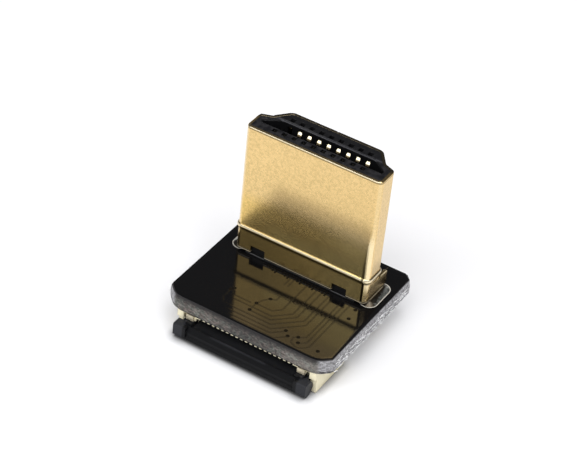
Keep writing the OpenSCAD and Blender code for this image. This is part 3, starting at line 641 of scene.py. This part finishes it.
# The nineteen plug contacts: stamped copper alloy springs, gold plated.
# Each sits in its groove with the tip hooked behind the rim. Painted shade darkens them below the tip
# and darkens all of the leftmost contact of the back row.
tips = Finish("gold_contact")
worn = tips.grain(6, 3, 0.5)
sunk = plug_high.z * 1000 - tips.z
leftmost, back_row = tips.x.fade(-3.4, -3.5), tips.y.fade(4.2, 4.3)
shade = sunk.fade(0.86, 0.95).most(leftmost * back_row)
bright_gold = tips.tint(worn, (0.9, 0.8, 0.52), (0.95, 0.89, 0.68))
gold_contact = tips.surface(
    Base_Color=tips.tint(shade, bright_gold, (0.12, 0.09, 0.05)),
    Metallic=1.0,
    Roughness=0.14 + 0.1 * worn,
    Normal=tips.relief(worn * 0.0015, tips.rounded(0.03)),
)
for index in range(19):
    coat_node(f"plug_contact_{index + 1:02d}", gold_contact)

# The leg slots and every solder joint: tinned rings on the board and bright solder that has flowed and set.
# Next to the shell the solder carries a painted dark reflection of the shell's foot.
tinned = Finish("tinned_ring")
dull = tinned.grain(5, 3, 0.6)
ring_metal = tinned.surface(
    Base_Color=tinned.tint(dull, (0.82, 0.77, 0.66), (0.95, 0.92, 0.83)),
    Metallic=0.4,
    Roughness=0.35 + 0.2 * dull,
)
coat_node("slot_plating", ring_metal)
melt = Finish("set_solder")
cloud = melt.grain(3, 4, 0.6)
mottle = melt.grain(2.2, 3, 0.6) * 0.5
# Painted dark reflection on the solder next to the shell's foot and towards the front.
painted_reflection_by_leg = (abs(melt.x - plug_x) - shell_half + (melt.y - plug_y - 2) * 0.12 - mottle).fade(0.2, 0.05)
painted_reflection_by_leg = painted_reflection_by_leg.most(melt.y.fade(plug_y + 1.1, plug_y + 0.8)) * melt.z.fade(skin_top - 0.1, skin_top)
set_metal = melt.tint(cloud.fade(0.35, 0.65), (0.36, 0.37, 0.32), (0.82, 0.83, 0.76))
solder = melt.surface(
    Base_Color=melt.tint(painted_reflection_by_leg * 0.9, set_metal, (0.06, 0.04, 0.02)),
    Metallic=1.0,
    Roughness=0.2 + 0.2 * cloud,
    Normal=melt.relief(cloud * 0.02),
)
for node in ("pin_solder", "ffc_solder"):
    coat_node(node, solder)


def pad_outline(middle_x, middle_y, wide, long, turn):
    """A point of a pad with round ends, seen from its middle in one direction."""
    straight = long / 2 - wide / 2
    along, toward = math.sin(turn) * (straight + wide / 2), math.cos(turn)
    if abs(along) < straight:
        over = min(abs(toward) * 1.6, 1) * wide / 2
    else:
        rest = (abs(along) - straight) / (wide / 2)
        over = math.sqrt(max(0, 1 - rest * rest)) * wide / 2
    return middle_x + math.copysign(over, toward), middle_y + along


solder_low, solder_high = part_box("leg_solder")
inset, leg_half, leg_reach, steps = 0.1, 0.13, 1.1, 72
pad_y = (solder_low.y + solder_high.y) * 500
pad_long = (solder_high.y - solder_low.y) * 1000 - 2 * inset
pad_wide = (solder_high.x * 1000 - plug_x - leg_x) * 2 - 2 * inset
profile = [(0, -0.012), (0.03, 0.05), (0.08, 0.085), (0.16, 0.1), (0.3, 0.095)]
profile += [(0.5, 0.095), (0.7, 0.1), (0.86, 0.12), (0.95, 0.16), (1, 0.3)]
fillets = bmesh.new()
for heel in (plug_x - leg_x, plug_x + leg_x):
    rings = []
    for share, lift in profile:
        ring = []
        for step in range(steps):
            out_x, out_y = pad_outline(heel, pad_y, pad_wide, pad_long, math.tau * step / steps)
            in_x = heel + max(-leg_half, min(leg_half, out_x - heel))
            in_y = pad_y + max(-leg_reach, min(leg_reach, out_y - pad_y))
            sag = 1 + 0.18 * noise.noise(Vector((out_x, out_y, 3.0)))
            spot = (out_x + (in_x - out_x) * share, out_y + (in_y - out_y) * share, skin_top + lift * sag)
            ring.append(fillets.verts.new([c / 1000 for c in spot]))
        rings.append(ring)
    for low, high in zip(rings, rings[1:]):
        for step in range(steps):
            after = (step + 1) % steps
            fillets.faces.new((low[step], low[after], high[after], high[step]))
bmesh.ops.recalc_face_normals(fillets, faces=fillets.faces)
fillet_mesh = bpy.data.meshes.new("leg_fillets")
fillets.to_mesh(fillet_mesh)
fillets.free()
fillet_mesh.materials.append(solder)
smooth_by_angle(fillet_mesh, 60)
leg_fillets = bpy.data.objects.new("leg_fillets", fillet_mesh)
bpy.context.scene.collection.objects.link(leg_fillets)
settle(leg_fillets, "adapter", "solder")
coat_node("leg_solder", solder)

# The cable connector's housing: ivory liquid-crystal polymer, moulded, matt and a little speckled.
# A comb of narrow teeth runs along its front above the slider; painted shade darkens the grooves between them
# and the lower part of the teeth.
ivory = Finish("ivory_moulding")
flow = ivory.grain(0.8, 4, 0.6, (0.4, 1.5, 1.5))
dot = ivory.grain(15, 3, 0.6)
comb_half, pitch = 5.0, 0.5
way = (ivory.x - plug_x) / pitch + 0.5
groove = abs(way.by("FRACT", way) - 0.5).fade(0.22, 0.27)
in_comb = (ivory.y - front).fade(0.335, 0.235) * abs(ivory.x - plug_x).fade(comb_half + 0.1, comb_half)
# Painted shade in the comb's grooves and on the teeth's lower part.
painted_comb_shade = in_comb * groove.most(ivory.z.fade(2.25, 2.21)) * ivory.z.fade(1.9, 2.0)
pale_ivory = ivory.tint(flow, (0.9, 0.82, 0.57), (0.93, 0.87, 0.64))
ivory_moulding = ivory.surface(
    Base_Color=ivory.tint(painted_comb_shade, pale_ivory, (0.03, 0.026, 0.02)),
    Roughness=0.45 + 0.15 * dot,
    Normal=ivory.relief(dot * 0.003 + flow * 0.006, ivory.rounded(0.05)),
)
coat_node("ffc_housing", ivory_moulding)

# The slider: black moulding with a bar, a tongue and two arms. It slides out to free the cable.
# Its end blocks carry a painted sheen, the top of its bar and its tongue carry painted light,
# and a patch in the middle of its round back is a little paler.
bar = Finish("black_slider")
streak = bar.grain(0.9, 4, 0.6, (0.5, 1.5, 1.5))
tooth = bar.grain(15, 3, 0.6)
# Painted sheen on the end blocks, painted light towards the back; the middle patch is only paler.
painted_end_sheen = abs(bar.x - plug_x).fade(5.95, 6.1)
paler_middle_patch = bar.x.fade(-3.4, -2.6) * bar.x.fade(3.0, 2.4) * bar.z.fade(1.35, 1.45) * bar.y.fade(-7.5, -7.6)
painted_light_and_paler_patch = painted_end_sheen.most(paler_middle_patch * 1.3 * streak).most(bar.y.fade(-7.7, -7.2) * 0.3)
fresh_black = bar.tint(streak, (0.003, 0.003, 0.0035), (0.006, 0.0065, 0.0075))
black_slider = bar.surface(
    Base_Color=bar.tint(painted_light_and_paler_patch, fresh_black, (0.024, 0.025, 0.029)),
    Roughness=0.3 + 0.16 * streak + 0.06 * tooth,
    IOR=1.4,
    Specular_IOR_Level=0.2,
    Normal=bar.relief(tooth * 0.002 + streak * 0.003, bar.rounded(0.06)),
)
coat_node("ffc_slider", black_slider)

# The cable contacts and the two tabs that hold the housing: stamped and tin plated.
# The contacts are bright; the tabs, which are soldered down, are duller and warmer.
tin = Finish("tin_plate")
matt = tin.grain(5, 4, 0.6)
tin_plate = tin.surface(
    Base_Color=tin.tint(matt, (0.78, 0.76, 0.7), (0.95, 0.93, 0.87)),
    Metallic=1.0,
    Roughness=0.25 + 0.2 * matt,
    Normal=tin.relief(matt * 0.003, tin.rounded(0.03)),
)
for index in range(20):
    coat_node(f"ffc_contact_{index + 1:02d}", tin_plate)
tab = Finish("tab_plate")
cloudy = tab.grain(3, 4, 0.6)
tab_plate = tab.surface(
    Base_Color=tab.tint(cloudy, (0.66, 0.58, 0.42), (0.85, 0.78, 0.6)),
    Metallic=1.0,
    Roughness=0.38 + 0.2 * cloudy,
    Normal=tab.relief(cloudy * 0.006, tab.rounded(0.05)),
)
for node in ("ffc_tab_left", "ffc_tab_right"):
    coat_node(node, tab_plate)

# The floor is a sheet of white paper. Near the object it takes the light and the shadows as paper does, and
# painted contact shade darkens it right next to the object; further out it is plain white to every ray that
# sees it.
floor_shape = bmesh.new()
bmesh.ops.create_circle(floor_shape, cap_ends=True, segments=96, radius=4.0)
floor_mesh = bpy.data.meshes.new("paper")
floor_shape.to_mesh(floor_mesh)
floor_shape.free()
floor = bpy.data.objects.new("paper", floor_mesh)
floor.location.z = -0.00002
bpy.context.scene.collection.objects.link(floor)
paper = Finish("white_paper")
# Painted contact shade: ambient occlusion darkens the paper's colour and glow next to the object.
painted_contact_shade = paper.add("ShaderNodeAmbientOcclusion", {"samples": 16}, {"Distance": 0.0009}, "AO") ** 1.3
paper_with_painted_shade = paper.tint(painted_contact_shade, (0.0, 0.0, 0.0), (0.9, 0.9, 0.915))
paper_skin = paper.add("ShaderNodeBsdfDiffuse", {}, {"Color": paper_with_painted_shade})
paper_glow = paper.add("ShaderNodeEmission", {}, {"Color": (1.0, 1.0, 1.0), "Strength": painted_contact_shade})


def looked_at(tree):
    """1 for a ray that shows a place to the eye: directly, in a mirror or through glass."""
    names = ("Is Camera Ray", "Is Glossy Ray", "Is Transmission Ray")
    direct, mirrored, passed = (tree.add("ShaderNodeLightPath", {}, {}, name) for name in names)
    return direct.most(mirrored).most(passed)


away = paper.add("ShaderNodeVectorMath", {"operation": "LENGTH"}, {0: paper.mm}, "Value")
glowing = (away.fade(30, 90) * 0.88 + 0.12) * looked_at(paper)
paper_mix = paper.add("ShaderNodeMixShader", {}, {0: glowing, 1: paper_skin, 2: paper_glow})
paper.add("ShaderNodeOutputMaterial", {}, {"Surface": paper_mix})
floor_mesh.materials.append(paper.material)

# The room: to the eye and in the metal it is white round the horizon and dark overhead, and it lights the
# object with an even grey. Four soft lamps stand in front, above and to the right.
world = bpy.data.worlds.new("room")
bpy.context.scene.world = world
world.use_nodes = True
room = Tree(world.node_tree)
world.node_tree.nodes.clear()
heading = room.add("ShaderNodeTexCoord", {}, {}, "Generated")
height = room.add("ShaderNodeSeparateXYZ", {}, {0: heading}, 2)
shown = room.tint(height.fade(0.03, 0.12), (1.0, 1.0, 1.0), (0.085, 0.086, 0.092))
tone_of_room = room.tint(looked_at(room), (0.54, 0.54, 0.55), shown)
air = room.add("ShaderNodeBackground", {}, {"Color": tone_of_room, "Strength": 1.0})
room.add("ShaderNodeOutputWorld", {}, {"Surface": air})


def softbox(name, place, aim, wide, tall, strength):
    """A soft lamp: strength is the brightness that its face would show, so its power follows its size."""
    lamp = bpy.data.lights.new(name, "AREA")
    lamp.shape, lamp.size, lamp.size_y = "RECTANGLE", wide, tall
    lamp.energy = strength * math.pi * wide * tall
    holder = bpy.data.objects.new(name, lamp)
    holder.location = place
    holder.rotation_euler = (Vector(aim) - Vector(place)).to_track_quat("-Z", "Y").to_euler()
    bpy.context.scene.collection.objects.link(holder)


softbox("lamp_front", (-0.25, -0.47, 0.41), (0, 0, 0.01), 0.34, 0.3, 2.3)
softbox("lamp_high", (0.0, -0.36, 0.54), (0, 0, 0.01), 0.3, 0.22, 5.0)
softbox("lamp_right", (0.36, -0.18, 0.52), (0, 0, 0.01), 0.36, 0.34, 2.6)
softbox("lamp_above", (0.1, 0.0, 0.62), (0, 0, 0), 0.4, 0.3, 2.8)

# The camera stands where the photograph was taken from: a long lens, 38 degrees above the floor.
# Its focal length is given in pixels of a picture that is 579 pixels wide.
focal_px, picture_wide_px = 2086.781, 579
eye = bpy.data.cameras.new("eye")
eye.sensor_width = 36.0
eye.lens = focal_px * eye.sensor_width / picture_wide_px
eye.clip_start, eye.clip_end = 0.005, 20.0
camera = bpy.data.objects.new("eye", eye)
camera.matrix_world = Matrix(
    (
        (0.84611844, -0.3838897, 0.36974625, 0.067883),
        (0.52589409, 0.48843859, -0.69632115, -0.128712),
        (0.08671218, 0.78361753, 0.61516222, 0.124260),
        (0, 0, 0, 1),
    )
)
bpy.context.scene.collection.objects.link(camera)
bpy.context.scene.camera = camera
bpy.context.scene.view_settings.view_transform = "Standard"
